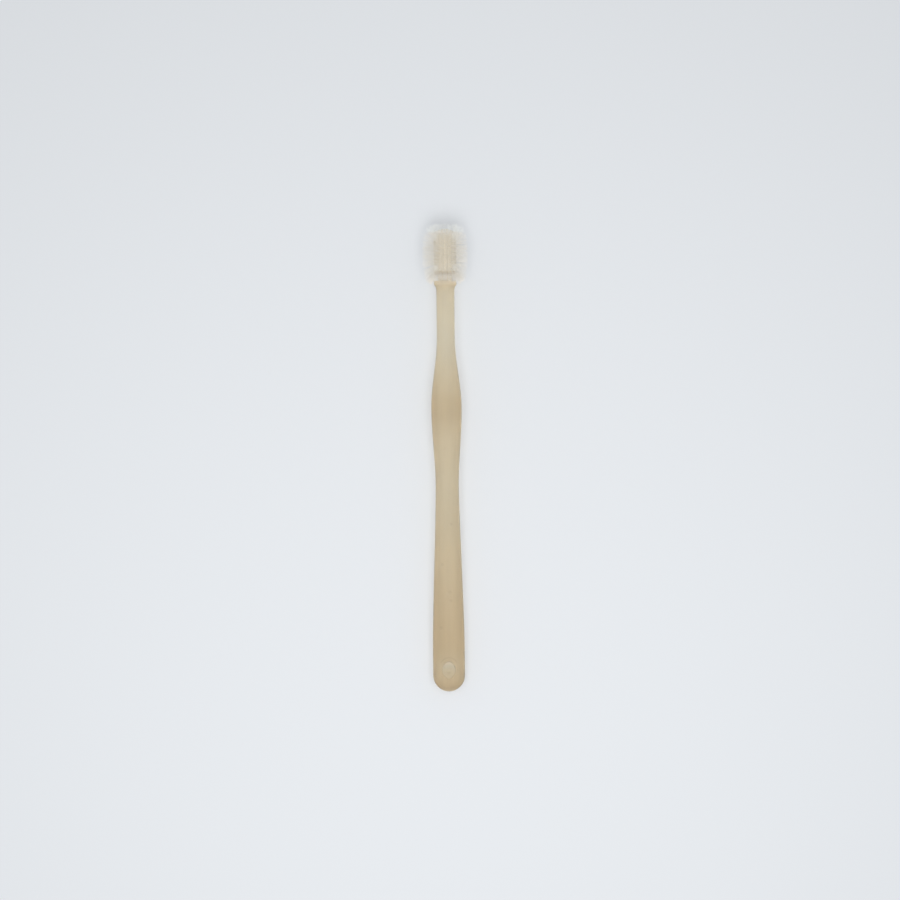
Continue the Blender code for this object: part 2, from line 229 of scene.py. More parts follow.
class HeadSettings(bpy.types.PropertyGroup):
    """Sizes and finish of the bristle discs."""

    disc_diameter: size("Disc diameter", 0.0082, "Diameter of a disc's fused ring")
    disc_thickness: size("Disc thickness", 0.00075, "Thickness of a disc in the solid model")
    disc_gap: size("Disc gap", 0.0003, "Gap between two discs in the solid model")
    bore_clearance: size("Bore clearance", 0.0003, "Clearance round the spindle and the spigot, across")
    filament_length: size("Filament length", 0.0043, "Length of a filament outside its ring")
    root_length: size("Root length", 0.0006, "Length of a filament's root, which leans half as much")
    filament_diameter: size("Filament diameter", 0.000045, "Diameter of a filament at its ring")
    filaments: whole("Filaments", 225, "Number of filaments in each disc", max=2000)
    foot_fullness: amount("Foot fullness", 3.8, "How much fuller the hindmost disc is", 1, max=5)
    tip_fullness: amount("Tip fullness", 2.4, "How much fuller the foremost disc is", 1, max=5)
    front_lean: angle("Front lean", 74, "Lean of the foremost filaments, to the tip")
    back_lean: angle("Back lean", -56, "Lean of the hindmost filaments, to the collar")
    bunches: whole("Bunches", 40, "Number of bunches in a disc")
    gather: share("Gather", 0.7, "How much the tips of a bunch come together")
    rib_depth: size("Rib depth", 0.00012, "Depth of the grooves between the ribs of a fused ring")
    ribs: whole("Ribs", 24, "Number of ribs of a fused ring", max=60)
    inner_reach: size("Inner reach", 0.0012, "How far in the filaments that lie along the seat start")
    shoulder: size("Shoulder", 0.0018, "How much shorter of the tip the outermost filaments end")
    foot_reach: size("Foot reach", 0.0004, "How far the hindmost ring's foot stands out")
    unevenness: share("Unevenness", 0.5, "How much the filaments differ from each other")
    tint: colour("Tint", (0.985, 0.96, 0.905), "Colour of the clear filaments")
    tip_tint: colour("Tip tint", (0.955, 0.975, 0.965), "Colour of the filaments round the cap")
    ring_tint: colour("Ring tint", (0.715, 0.648, 0.525), "Colour of the fused rings")
    foot_tint: colour("Foot tint", (0.62, 0.50, 0.33), "Colour mixed into the hindmost ring")
    # Painted light: how much paler the rings are painted at their sides, at the front of the stack and
    # over the foot.
    ring_flank: share("Ring flank", 0.65, "How much paler the foremost rings are at their sides")
    foot_flank: share("Foot flank", 0.50, "How much paler the rings over the foot are at their sides")
    root_tint: colour("Root tint", (1.0, 0.95, 0.83), "Colour of the filaments where they leave the rings")
    clearness: share("Clearness", 0.0, "How much light passes through the filaments")
    roughness: share("Roughness", 0.15, "Roughness of the filaments")


class StageSettings(bpy.types.PropertyGroup):
    """The table, the light and the camera."""

    floor_colour: colour("Floor colour", (0.768, 0.795, 0.827), "Colour of the table")
    floor_glow: share("Floor glow", 0.3, "How much of the table's own colour shows in its shadows")
    backdrop_shade: share("Backdrop shade", 0.93, "Brightness of the backdrop against the table's")
    sky_strength: amount("Sky", 0.54, "Strength of the even light")
    lamp_power: amount("Lamp power", 1.55, "Power of the large lamp", unit="POWER")
    lamp_size: size("Lamp size", 0.35, "Side of the large square lamp")
    lamp_place: point("Lamp place", (0.0, -0.10, 0.50), "Where the lamp hangs")
    lens: amount("Lens", 120.0, "Focal length of the camera", unit="CAMERA")
    frame_width: size("Frame width", 0.3267, "Width that the camera sees at the brush")
    aim: point("Aim", (0.0011, 0.0028), "Where the camera looks, right of and above the middle")
    roll: angle("Roll", 0.57, "How far the head leans to the left in the picture")


def settings():
    """The three groups of settings."""
    scene = bpy.context.scene
    return scene.toothbrush_handle, scene.toothbrush_head, scene.toothbrush_stage


class Places:
    """Places along the brush, from the end of the butt, worked out from the settings."""

    def __init__(self):
        handle, head, _ = settings()
        self.pitch = head.disc_thickness + head.disc_gap
        self.end_radius = handle.butt_width / 2
        self.waist = handle.butt_length + handle.taper_length
        self.swell = self.waist + handle.waist_to_swell
        self.neck = self.swell + handle.swell_to_neck
        self.collar = self.neck + handle.neck_length
        self.rim = self.collar + handle.flare_length
        self.seat = self.rim + handle.rim_length
        self.stack = self.seat + handle.seat_length
        self.spindle_end = self.stack + len(DISC_NAMES) * self.pitch
        self.cap = self.spindle_end + head.disc_gap
        self.spigot_end = self.cap + handle.spigot_length
        self.tips = (
            self.disc(LAST_DISC) + head.disc_thickness + math.sin(head.front_lean / 2) * head.root_length
            + math.sin(head.front_lean) * (head.filament_length - head.root_length)
        )

    def disc(self, number):
        """The lower face of a disc, counted from 0 at the collar."""
        return self.stack + settings()[1].disc_gap + number * self.pitch


def lying():
    """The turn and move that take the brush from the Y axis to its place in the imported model."""
    places, (_, head, _) = Places(), settings()
    first, last = (sum(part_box(DISC_NAMES[n - 1]), Vector()) / 2 for n in STRAIGHT_DISCS)
    way = last - first
    turn = Matrix.Rotation(math.atan2(way.z, way.y), 4, "X")
    middle = Vector((0, places.disc(STRAIGHT_DISCS[0] - 1) + head.disc_thickness / 2, 0))
    return Matrix.Translation(Vector((0, first.y, first.z)) - turn @ middle) @ turn


def lay_down(points):
    """Points along the Y axis moved into the lying place, none of them under the table."""
    pose = np.array(lying())
    moved = np.asarray(points, float) @ pose[:3, :3].T + pose[:3, 3]
    moved[:, 2] = np.maximum(moved[:, 2], 0)
    return moved.tolist()


def add_object(name, data):
    """A new object in the scene."""
    made = bpy.data.objects.new(name, data)
    bpy.context.scene.collection.objects.link(made)
    return made


def add_mesh(name, points, faces):
    """A new object in the scene, with a mesh of these points and faces."""
    data = bpy.data.meshes.new(name)
    data.from_pydata(points, [], faces)
    return add_object(name, data)


def smooth(data):
    """Shades a mesh smoothly, but not over its sharp edges."""
    data.shade_smooth()
    data.set_sharp_from_angle(angle=SHARP_ANGLE)


def add_piece(name, points, faces, materials, node, slot, first_of_second=math.inf):
    """Makes a mesh that lies where the brush lies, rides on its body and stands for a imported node.

    Faces from the number first_of_second on take the second material.
    """
    piece = add_mesh(name, lay_down(points), faces)
    for material in materials:
        piece.data.materials.append(material)
    second = (np.arange(len(faces)) >= first_of_second).astype(np.int32)
    piece.data.polygons.foreach_set("material_index", second)
    piece.data.validate()
    smooth(piece.data)
    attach(piece, "root")
    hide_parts(node)
    return piece


def band_faces(rings, sides):
    """Quads between rings of vertices that follow each other."""
    faces = []
    for low in range(0, (rings - 1) * sides, sides):
        for k in range(sides):
            after = (k + 1) % sides
            faces.append((low + k, low + sides + k, low + sides + after, low + after))
    return faces


def lofted(rings, start_point, end_point):
    """Vertices and faces of a skin over rings, closed by a fan to a point at each end."""
    sides = len(rings[0])
    points = np.concatenate(rings).tolist()
    first, last = len(points), len(points) - sides
    faces = band_faces(len(rings), sides)
    faces += [((k + 1) % sides, first, k) for k in range(sides)]
    faces += [(last + k, first + 1, last + (k + 1) % sides) for k in range(sides)]
    return [*points, start_point, end_point], faces


def turns_of(sides):
    """Even angles all the way round."""
    return np.arange(sides) * math.tau / sides


def oval(place, half_width, half_height, squareness=2.0, sides=SIDES):
    """A superellipse across the brush at this place."""
    x, z = np.cos(turns_of(sides)), np.sin(turns_of(sides))
    power = 2 / squareness
    x = half_width * np.sign(x) * np.abs(x) ** power
    z = half_height * np.sign(z) * np.abs(z) ** power
    return np.stack([x, np.full(sides, place), z], axis=1)


def wavy(place, reach, turns):
    """A section across the brush with its own reach from the axis at each angle."""
    return np.stack([reach * np.cos(turns), np.full(len(turns), place), reach * np.sin(turns)], axis=1)


def splined(place, radius, depth):
    """A round section with soft ribs and grooves."""
    turns = turns_of(SIDES)
    wave = np.tanh(SPLINE_SHARPNESS * np.cos(SPLINE_COUNT * (turns - SPLINE_TURN)))
    return wavy(place, radius - depth / 2 + depth / 2 * wave, turns)


def ribbed(place, radius, depth, ribs):
    """A round section with shallow ribs."""
    turns = turns_of(RING_SIDES)
    return wavy(place, radius - depth * (0.5 + 0.5 * np.cos(ribs * turns)) ** 2, turns)


def ease(part, softness):
    """A blend from 0 to 1: straight at softness 0, level at both ends at softness 1."""
    return (1 - softness) * part + softness * part * part * (3 - 2 * part)


def soft_corners(profile, radius, steps=5):
    """A profile of (place, radius) points with every inner corner drawn as a small curve."""
    soft = [profile[0]]
    for before, corner, after in zip(profile, profile[1:], profile[2:]):
        before, corner, after = (np.array(p, float) for p in (before, corner, after))
        arms = []
        for other in (before, after):
            reach = np.linalg.norm(other - corner)
            arms.append(corner + (other - corner) * min(radius, reach * 0.45) / reach)
        for k in range(steps + 1):
            t = k / steps
            soft.append(tuple((1 - t) ** 2 * arms[0] + 2 * t * (1 - t) * corner + t * t * arms[1]))
    return [*soft, profile[-1]]


def grip_outline(places, handle):
    """Rows of place, width, thickness and squareness from the butt to the neck, with softened joins."""
    grip, neck = GRIP_SQUARENESS, handle.neck_diameter
    # Place, width, thickness and squareness of a stop, and how soft the way to the next stop is.
    stops = (
        (handle.butt_length, handle.butt_width, handle.butt_thickness, grip, 0.3),
        (places.waist, handle.waist_width, handle.waist_thickness, grip, 1.0),
        (places.swell, handle.swell_width, handle.swell_thickness, grip, 1.0),
        (places.neck, neck, neck, 2.0, 1.0),
        (places.collar, neck, neck, 2.0, 1.0),
    )
    at = np.arange(places.end_radius, places.collar, GRIP_STEP)
    rows = np.empty((len(at), 4))
    rows[:, 0] = at
    rows[:, 1:] = stops[0][1:4]
    for start, end in zip(stops, stops[1:]):
        inside = (at >= start[0]) & (at <= end[0])
        part = ease((at[inside] - start[0]) / (end[0] - start[0]), start[4])
        for column in (1, 2, 3):
            rows[inside, column] = start[column] + (end[column] - start[column]) * part
    weights = np.hanning(2 * SOFTENED + 3)[1:-1]
    weights /= weights.sum()
    for column in (1, 2, 3):
        longer = np.pad(rows[:, column], SOFTENED, mode="edge")
        rows[:, column] = np.convolve(longer, weights, mode="valid")
    return rows


def handle_mesh():
    """Vertices and faces of the whole moulding."""
    handle, places = settings()[0], Places()
    rings = []
    for turn in np.linspace(0.04, math.pi / 2, END_SECTIONS)[:-1]:
        inward = math.cos(turn)
        height = (1 - inward**END_SQUARENESS) ** (1 / END_SQUARENESS)
        rings.append(
            oval(places.end_radius * (1 - inward), handle.butt_width / 2 * math.sin(turn),
                 handle.butt_thickness / 2 * height, GRIP_SQUARENESS)
        )
    for place, width, thickness, squareness in grip_outline(places, handle):
        rings.append(oval(place, width / 2, thickness / 2, squareness))
    neck, collar, seat = handle.neck_diameter / 2, handle.collar_diameter / 2, handle.seat_diameter / 2
    spindle, spigot = handle.spindle_diameter / 2, handle.spigot_diameter / 2
    flare = [
        (places.collar + handle.flare_length * math.sin(t), neck + (collar - neck) * (1 - math.cos(t)))
        for t in np.linspace(0, math.pi / 2, FLARE_SECTIONS)
    ]
    rim = soft_corners(
        [flare[-2], (places.rim, collar), (places.seat, collar), (places.seat, seat), (places.stack, seat),
         (places.stack, spindle)],
        0.00025,
    )
    tip = soft_corners(
        [(places.spindle_end, spigot + 0.0003), (places.spindle_end, spigot), (places.spigot_end, spigot),
         (places.spigot_end, 0.0001)],
        0.00015,
    )
    rings += [oval(place, radius, radius) for place, radius in [*flare[:-2], *rim[:-1]]]
    for place in np.linspace(places.stack, places.spindle_end, SPINDLE_SECTIONS):
        rings.append(splined(place, spindle, handle.spline_depth))
    rings += [oval(place, radius, radius) for place, radius in tip[1:]]
    return lofted(rings, (0, 0, 0), (0, places.spigot_end, 0))


def gate_well(handle):
    """Vertices and faces of the cutter for the oval gate well, with a rounded lip and the gate's stub."""
    top = handle.butt_thickness / 2
    floor = top - handle.well_depth
    stub = floor + handle.gate_height
    radius, gate = handle.well_width / 2, handle.gate_diameter / 2
    floor_radius = radius - handle.well_draft
    longer = (handle.well_length - handle.well_width) / 2
    profile = soft_corners(
        [(stub, 0.0), (stub, gate), (floor, gate + 0.0001), (floor, floor_radius),
         (top + WELL_LIP, radius), (top + WELL_LIP, radius + 0.0012), (top + WELL_RISE, radius + 0.0016)],
        0.0002,
    )
    rings = []
    turns = turns_of(SMALL_SIDES)
    for height, reach in profile[1:]:
        outward = min(1, max(0, reach - gate) / (floor_radius - gate))
        middle = handle.gate_place + (handle.well_place - handle.gate_place) * outward
        along = middle - (reach + longer * outward) * np.sin(turns)
        to_end = np.clip(0.5 - (along - handle.well_place) / handle.well_length, 0, 1)
        deep = 1 - handle.well_slant * to_end
        rings.append(np.stack([reach * np.cos(turns), along, top - (top - height) * deep], axis=1))
    stub_middle = [0, handle.gate_place, rings[0][:, 2].mean()]
    return lofted(rings, stub_middle, (0, handle.well_place, top + WELL_RISE))


def cut(piece, points, faces):
    """Takes the shape of these faces out of the piece, which gets a new mesh."""
    cutter = add_mesh("cutter", lay_down(points), faces)
    boolean = piece.modifiers.new("cut", "BOOLEAN")
    boolean.operation, boolean.solver, boolean.object = "DIFFERENCE", "EXACT", cutter
    shown = piece.evaluated_get(bpy.context.evaluated_depsgraph_get())
    result = bpy.data.meshes.new_from_object(shown)
    piece.modifiers.remove(boolean)
    piece.data = result
    bpy.data.objects.remove(cutter)
    if len(result.vertices) == 0:
        raise RuntimeError("the gate well left nothing of the handle")
    smooth(result)


def shader_nodes(name):
    """A new material with its tree, its Principled shader and its output."""
    material = bpy.data.materials.new(name)
    material.use_nodes = True
    tree = material.node_tree
    return material, tree, tree.nodes["Principled BSDF"], tree.nodes["Material Output"]


def set_inputs(tree, node, inputs):
    """Gives a node its inputs, as values or as links from other nodes' sockets."""
    for key, value in inputs.items():
        if isinstance(value, bpy.types.NodeSocket):
            tree.links.new(value, node.inputs[key])
        else:
            node.inputs[key].default_value = value


def add_node(tree, kind, inputs, **values):
    """A new shader node with its settings and its inputs."""
    node = tree.nodes.new("ShaderNode" + kind)
    for key, value in values.items():
        setattr(node, key, value)
    set_inputs(tree, node, inputs)
    return node


def maths(tree, operation, *values):
    """The socket of a product, difference or other result of numbers."""
    return add_node(tree, "Math", dict(enumerate(values)), operation=operation).outputs[0]


def vector_maths(tree, operation, *values):
    """The socket of a vector worked out from others, or of the number for a length or a distance."""
    node = add_node(tree, "VectorMath", dict(enumerate(values)), operation=operation)
    return node.outputs["Value" if operation in ("LENGTH", "DISTANCE") else "Vector"]


def largest(tree, values):
    """The socket of the largest of some numbers."""
    most, *others = values
    for other in others:
        most = maths(tree, "MAXIMUM", most, other)
    return most


def mapped(tree, vector, **inputs):
    """The socket of a vector that a Mapping node moves, turns or stretches."""
    return add_node(tree, "Mapping", {"Vector": vector, **inputs}).outputs[0]


def part_of(tree, vector, axis):
    """The socket of a vector's X, Y or Z."""
    return add_node(tree, "SeparateXYZ", {"Vector": vector}).outputs[axis]


def noise(tree, vector, scale, detail=2.0, roughness=0.5):
    """The socket of a cloudy pattern."""
    inputs = {"Vector": vector, "Scale": scale, "Detail": detail, "Roughness": roughness}
    return add_node(tree, "TexNoise", inputs).outputs["Fac"]


def ramp(tree, value, start, end, first=1.0, last=0.0):
    """The socket of a number that turns from first to last while the value goes from start to end."""
    inputs = {"Value": value, "From Min": start, "From Max": end, "To Min": first, "To Max": last}
    return add_node(tree, "MapRange", inputs, interpolation_type="SMOOTHSTEP").outputs[0]


def blend(tree, factor, first, second):
    """The socket of a colour between two others."""
    inputs = {"Factor": factor, "A": first, "B": second}
    return add_node(tree, "Mix", inputs, data_type="RGBA").outputs["Result"]


def shade(tint, light=1.0):
    """A colour, made lighter or darker, as a shader takes it."""
    return (*[min(1.0, part * light) for part in tint], 1)


def brush_coordinates(tree):
    """The socket of a place in brush coordinates, where the axis is the Y axis."""
    pose = lying().inverted()
    where = add_node(tree, "TexCoord", {}).outputs["Object"]
    return mapped(tree, where, Location=pose.to_translation(), Rotation=pose.to_euler())


def from_oval(tree, along, middle, width, length, aside=0.0):
    """The socket of the distance from the middle of an oval, seen from above, which is 1 on the oval."""
    scale = (2 / width, 2 / length, 0.0)
    shift = (-aside * scale[0], -middle * scale[1], 0.0)
    return vector_maths(tree, "LENGTH", mapped(tree, along, Location=shift, Scale=scale))


def from_well(tree, along):
    """The socket of the distance from the middle of the gate well, which is 1 at its edge."""
    handle = settings()[0]
    return from_oval(tree, along, handle.well_place, handle.well_width, handle.well_length)


def tint_by_thickness(tree, along):
    """The socket of the plastic's colour, which deepens from the slim neck to the thick butt, with painted
    light that lifts the neck's end and the collar where the filaments shade them.
    """
    handle, places = settings()[0], Places()
    slim, waist = handle.neck_diameter, handle.waist_thickness
    swell, butt = handle.swell_thickness, handle.butt_thickness
    # Places along the brush, and how thick the plastic looks there.
    stops = (
        (0.0, butt * 0.75), (places.end_radius * 0.3, butt * 1.12), (places.end_radius, butt),
        (handle.butt_length, butt), (places.waist, waist * 1.04), (places.swell - 0.012, waist * 1.06),
        (places.swell - 0.0068, swell * 0.92), (places.swell - 0.003, swell * 1.04),
        (places.swell + 0.002, swell * 1.04), (places.swell + 0.007, waist * 1.08),
        (places.swell + 0.013, slim * 1.12), (places.neck, slim),
    )
    tints = []
    for position, thickness in stops:
        part = (thickness - slim) / (butt - slim)
        mixed = [max(0, a + (b - a) * part) for a, b in zip(handle.thin_tint, handle.thick_tint)]
        tints.append((position, mixed))
    tints += [
        # Painted light: paler tints at the neck's end and the collar, where the filaments shade them.
        (places.collar - 0.002, handle.neck_end_tint), (places.rim, handle.collar_tint),
        (places.seat - SEAT_BLEND, handle.collar_tint), (places.seat + SEAT_BLEND, handle.head_tint),
        (places.spindle_end, handle.head_tint),
        (places.cap, handle.cap_tint), (places.tips, handle.cap_tint),
    ]
    place = maths(tree, "DIVIDE", part_of(tree, along, "Y"), places.tips)
    node = add_node(tree, "ValToRGB", {"Fac": place})
    node.color_ramp.interpolation = "EASE"
    elements = node.color_ramp.elements
    while len(elements) < len(tints):
        elements.new(0.5)
    for element, (position, tint) in zip(elements, tints):
        element.position = position / places.tips
        element.color = (*tint, 1)
    return node.outputs["Color"]


def clouded(tree, along, tint):
    """The socket of the plastic's colour with the grip's patches painted in: painted highlights down the
    middle and on the swell, and a darker band left of the middle.
    """
    for aside, middle, width, length, strength, light in GRIP_PAINTED_PATCHES:
        away = from_oval(tree, along, middle, width, length, aside)
        patch = ramp(tree, away, 0.2, 1.0, strength, 0.0)
        tint = blend(tree, patch, tint, (light, light, light, 1))
    return tint


def well_tinted(tree, along, tint):
    """The socket of the plastic's colour with painted light in the gate well: a paler, greyer painted
    reflection on its floor, strongest towards the head, and a painted highlight on its wall towards the
    head.
    """
    handle = settings()[0]
    place, away = part_of(tree, along, "Y"), from_well(tree, along)
    middle, reach = handle.well_place, handle.well_length / 2
    # Painted reflection in the well, weaker towards the butt's end.
    deep = ramp(tree, place, middle - reach / 2, middle + reach * 0.8, 0.35, 1.0)
    painted_reflection = maths(tree, "MULTIPLY", ramp(tree, away, 0.92, 1.04), deep)
    wall = maths(tree, "MULTIPLY", ramp(tree, away, 0.45, 0.85, 0.0, 1.0), painted_reflection)
    # Painted highlight on the well's wall towards the head.
    painted_highlight = ramp(tree, place, middle + reach * 0.3, middle + reach * 0.8, 0.0, 0.9)
    tint = blend(tree, painted_reflection, tint, shade(handle.well_tint))
    return blend(tree, maths(tree, "MULTIPLY", wall, painted_highlight), tint, WHITE)


def flow_arcs(tree, along):
    """The socket of two faint dark arcs painted in front of the gate well, 1 on an arc."""
    start = settings()[0].well_place + 0.0022
    ahead = ramp(tree, part_of(tree, along, "Y"), start, start + 0.0008, 0.0, 1.0)
    away = from_well(tree, along)
    arcs = []
    for place in DARK_ARCS:
        off = maths(tree, "ABSOLUTE", maths(tree, "SUBTRACT", away, place))
        arcs.append(ramp(tree, off, 0.03, 0.11))
    return maths(tree, "MULTIPLY", largest(tree, arcs), ahead)


def inner_marks(tree, along, shift=0.0, spread=1.0):
    """The socket of the small cloudy marks in the grip, 1 in a mark."""
    flat = vector_maths(tree, "MULTIPLY", along, FLAT)
    marks = []
    for x, y, radius in INNER_MARKS:
        away = vector_maths(tree, "DISTANCE", flat, (x + shift, y + shift, 0))
        marks.append(ramp(tree, away, radius * spread * 0.4, radius * spread))
    return largest(tree, marks)


def marked(tree, along, tint):
    """The socket of the plastic's colour with the gate's stub, the marks and the dark arcs in it, and a
    painted highlight beside each mark.
    """
    handle = settings()[0]
    away = from_oval(tree, along, handle.gate_place, handle.gate_diameter, handle.gate_diameter)
    gate = ramp(tree, away, 0.4, 1.6, GATE_DARKNESS, 0.0)
    dark = maths(tree, "ADD", inner_marks(tree, along), flow_arcs(tree, along))
    dark = maths(tree, "ADD", maths(tree, "MULTIPLY", dark, MARK_DARKNESS), gate)
    # Painted highlight beside each mark.
    painted_glint = maths(tree, "MULTIPLY", inner_marks(tree, along, -0.0005, 1.3), PAINTED_GLINT)
    return blend(tree, painted_glint, blend(tree, dark, tint, BLACK), WHITE)


def honey_resin():
    """Translucent plastic that deepens where it is thick, with faint flow streaks and a parting line."""
    handle, places = settings()[0], Places()
    material, tree, shader, output = shader_nodes("honey_resin")
    along = brush_coordinates(tree)
    place = part_of(tree, along, "Y")
    streaks = noise(tree, mapped(tree, along, Scale=(1.0, 0.07, 1.0)), 420.0, 4.0, 0.55)
    tint = tint_by_thickness(tree, along)
    tint = blend(tree, ramp(tree, streaks, 0.3, 0.7, 0.10, 0.0), tint, BLACK)
    # These add painted highlights on the grip, a painted reflection and highlight in the gate well, and a
    # painted highlight beside each mark.
    for finish in (clouded, well_tinted, marked):
        tint = finish(tree, along, tint)
    rough = maths(tree, "MULTIPLY_ADD", streaks, 0.10, handle.roughness - 0.04)
    polish = ramp(tree, place, places.spindle_end - 0.001, places.cap, 1.0, 1 - handle.cap_gloss)
    from_line = maths(tree, "ABSOLUTE", part_of(tree, along, "Z"))
    line = ramp(tree, from_line, *PARTING_LINE)
    relief = maths(tree, "MULTIPLY_ADD", noise(tree, along, 5200.0), 0.10, line)
    bump = add_node(tree, "Bump", {"Height": relief, "Distance": 0.00002, "Strength": 0.6})
    rim, seat = places.rim, places.seat
    clear = ramp(tree, place, places.collar + 0.0008, rim, handle.clearness, handle.rim_clearness)
    clear = ramp(tree, place, seat - SEAT_BLEND, seat + SEAT_BLEND, clear, handle.head_clearness)
    set_inputs(tree, shader, {
        "Base Color": tint, "Roughness": maths(tree, "MULTIPLY", rough, polish),
        "Normal": bump.outputs["Normal"], "Transmission Weight": clear, "IOR": 1.50,
    })
    inputs = {"Color": shade(handle.depth_tint), "Density": handle.depth_density}
    depth = add_node(tree, "VolumeAbsorption", inputs)
    set_inputs(tree, output, {"Volume": depth.outputs["Volume"]})
    return material


def fused_nylon():
    """Honey-coloured nylon of the fused rings, streaked along the brush, with painted light that makes the
    foremost rings and those over the foot paler at their sides.
    """
    head, places = settings()[1], Places()
    material, tree, shader, _ = shader_nodes("fused_nylon")
    along = brush_coordinates(tree)
    place = part_of(tree, along, "Y")
    outward = vector_maths(tree, "NORMALIZE", vector_maths(tree, "MULTIPLY", along, ACROSS))
    streaks = noise(tree, mapped(tree, outward, Rotation=(0.0, math.radians(20), 0.0)), 7.6)
    streaked = ramp(tree, streaks, 0.35, 0.6, 0.0, 1.0)
    tint = blend(tree, streaked, shade(head.ring_tint, 0.89), shade(head.ring_tint))
    # Painted light: the rings' sides are painted paler at the front of the stack and over the foot.
    front = ramp(tree, place, places.spindle_end - 0.0035, places.spindle_end, 0.0, head.ring_flank)
    from_band = maths(tree, "ABSOLUTE", maths(tree, "SUBTRACT", place, places.stack + 0.0025))
    over_foot = ramp(tree, from_band, 0.0004, 0.0016, head.foot_flank, 0.0)
    sideways = maths(tree, "ABSOLUTE", part_of(tree, outward, "X"))
    flank = ramp(tree, sideways, 0.45, 0.9, 0.0, 1.0)
    painted_light = maths(tree, "MULTIPLY", largest(tree, (front, over_foot)), flank)
    tint = blend(tree, painted_light, tint, shade(head.tip_tint))
    foot = ramp(tree, place, places.stack + 0.0008, places.stack + 0.0016, 0.6, 0.0)
    tint = blend(tree, foot, tint, shade(head.foot_tint))
    set_inputs(tree, shader, {"Base Color": tint, "Roughness": 0.4, "IOR": 1.53})
    return material


def clear_nylon():
    """Pale nylon of the filaments, honey-coloured at their roots."""
    head, places = settings()[1], Places()
    material, tree, shader, _ = shader_nodes("clear_nylon")
    along = brush_coordinates(tree)
    place = part_of(tree, along, "Y")
    from_axis = vector_maths(tree, "LENGTH", vector_maths(tree, "MULTIPLY", along, ACROSS))
    rim = head.disc_diameter / 2
    root = ramp(tree, from_axis, rim, rim + 0.0003)
    for bare, stacked in ((places.stack - 0.001, places.stack), (places.cap + 0.001, places.cap)):
        root = maths(tree, "MULTIPLY", root, ramp(tree, place, bare, stacked, 0.0, 1.0))
    clouds = ramp(tree, noise(tree, along, 1500.0), 0.35, 0.65, 0.0, 1.0)
    tint = blend(tree, clouds, shade(head.tint, 0.91), shade(head.tint))
    free = ramp(tree, place, places.spindle_end, places.cap + 0.001, 0.0, 1.0)
    tint = blend(tree, free, tint, shade(head.tip_tint))
    set_inputs(tree, shader, {
        "Base Color": blend(tree, root, tint, shade(head.root_tint)), "Roughness": head.roughness,
        "Transmission Weight": head.clearness, "IOR": 1.53,
    })
    return material


def material_named(make):
    """The material that a function makes and names after itself, made the first time."""
    return bpy.data.materials.get(make.__name__) or make()


def seen_directly(tree):
    """The socket that is 1 where the camera sees a thing itself, through the plastic or in its gloss."""
    seen = add_node(tree, "LightPath", {}).outputs
    return largest(tree, (seen["Is Camera Ray"], seen["Is Glossy Ray"], seen["Is Transmission Ray"]))


def table_paper():
    """Pale paper that lightens its shadows near the brush and is an even backdrop far away."""
    stage = settings()[2]
    material, tree, shader, output = shader_nodes("table_paper")
    paper = shade(stage.floor_colour)
    set_inputs(tree, shader, {"Base Color": paper, "Roughness": 0.9, "Specular IOR Level": 0.1})
    where = add_node(tree, "TexCoord", {}).outputs["Object"]
    away = vector_maths(tree, "LENGTH", where)
    glow = ramp(tree, away, *BACKDROP, stage.floor_glow, 1.0)
    glow = maths(tree, "MULTIPLY", glow, seen_directly(tree))
    fade = ramp(tree, away, *BACKDROP, 1.0, stage.backdrop_shade)
    even = add_node(tree, "Emission", {"Color": paper, "Strength": fade}).outputs[0]
    both = add_node(tree, "MixShader", {0: glow, 1: shader.outputs["BSDF"], 2: even}).outputs[0]
    set_inputs(tree, output, {"Surface": both})
    return material


def studio_world():
    """Even light from all round, which the camera sees in the paper's colour."""
    stage = settings()[2]
    world = bpy.data.worlds.new("studio")
    world.use_nodes = True
    tree = world.node_tree
    light = tree.nodes["Background"]
    set_inputs(tree, light, {"Color": WHITE, "Strength": stage.sky_strength})
    inputs = {"Color": shade(stage.floor_colour), "Strength": stage.backdrop_shade}
    backdrop = add_node(tree, "Background", inputs)
    inputs = {0: seen_directly(tree), 1: light.outputs[0], 2: backdrop.outputs[0]}
    both = add_node(tree, "MixShader", inputs).outputs[0]
    set_inputs(tree, tree.nodes["World Output"], {"Surface": both})
    return world


def weld_ring(number):
    """Vertices and faces of a disc's fused ring, which nearly fills the gap to the next ring."""
    handle, head, _ = settings()
    below = END_GAP_FILL if number == 0 else GAP_FILL
    above = END_GAP_FILL if number == LAST_DISC else GAP_FILL
    face = Places().disc(number)
    low = face - head.disc_gap * below
    high = face + head.disc_thickness + head.disc_gap * above
    bore = handle.spindle_diameter / 2 + head.bore_clearance * 0.5
    rim = head.disc_diameter / 2
    foot = rim + head.foot_reach * (number == 0)
    profile = soft_corners(
        [(low, bore), (low, foot), (low + FOOT_HEIGHT, foot), (low + FOOT_TOP, rim), (high, rim),
         (high, bore)],
        0.00003, 2,
    )
    rings = []
    for place, radius in profile:
        rings.append(ribbed(place, radius, head.rib_depth * (radius > rim * 0.9), head.ribs))
    points = np.concatenate(rings).tolist()
    faces = band_faces(len(rings) + 1, RING_SIDES)
    return points, [tuple(v % len(points) for v in face) for face in faces]


def disc_lean(number, head):
    """How far the filaments lean towards the tip at this place in the stack, counted in discs."""
    from_back = np.maximum(0, 1 - number / LEAN_REACH)
    from_front = np.maximum(0, 1 - (LAST_DISC - number) / LEAN_REACH)
    return head.back_lean * from_back**BACK_CURVE + head.front_lean * from_front**FRONT_CURVE


def uneven(chance, count):
    """Chance numbers round 0, none of them far from it."""
    return np.clip(chance.normal(0, 1, count), -2, 2)


